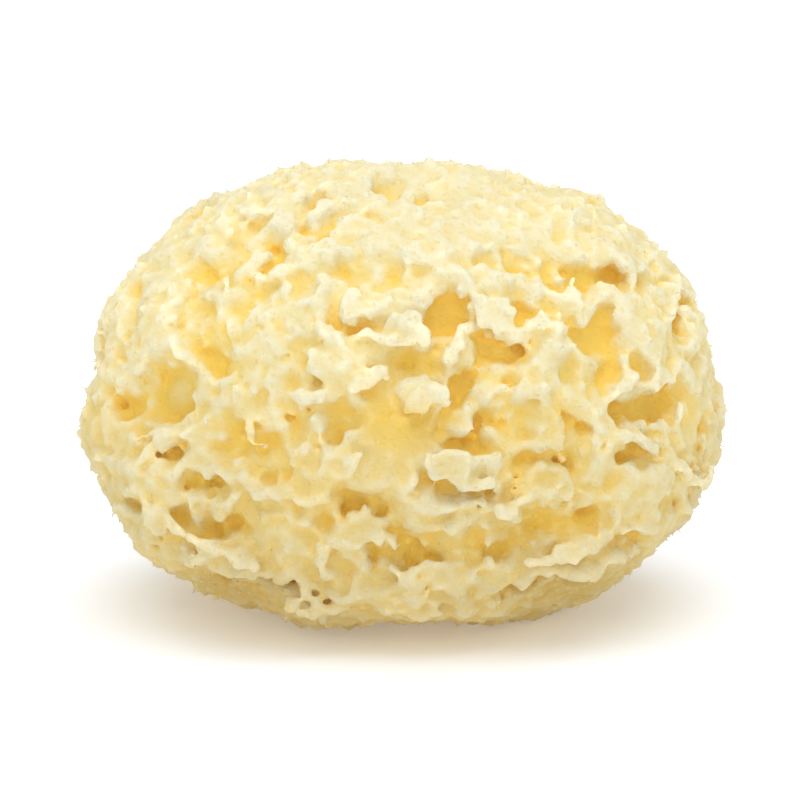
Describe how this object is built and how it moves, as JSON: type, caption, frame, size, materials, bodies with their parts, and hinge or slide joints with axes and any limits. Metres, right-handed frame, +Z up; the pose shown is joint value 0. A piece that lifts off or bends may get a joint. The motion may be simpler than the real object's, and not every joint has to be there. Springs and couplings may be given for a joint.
{
  "type": "sea sponge",
  "caption": "Natural bath sponge: a soft, rounded, cream-coloured skeleton pitted with open hollows all over, cut flat underneath so that it stands.",
  "frame": {"origin": "on the flat cut face that the sponge rests on, under the middle of its box", "axes": "+Z up from the cut face; +X along the broad front, to the right of someone facing it; the broad front faces -Y"},
  "size_m": [0.1402, 0.1156, 0.0978],
  "materials": {
    "sponge_fibre": "soft matt felt of fine horny fibres, cream on its crests and golden in its hollows"
  },
  "bodies": {
    "root": {"sponge": "sponge_fibre"}
  },
  "joints": []
}
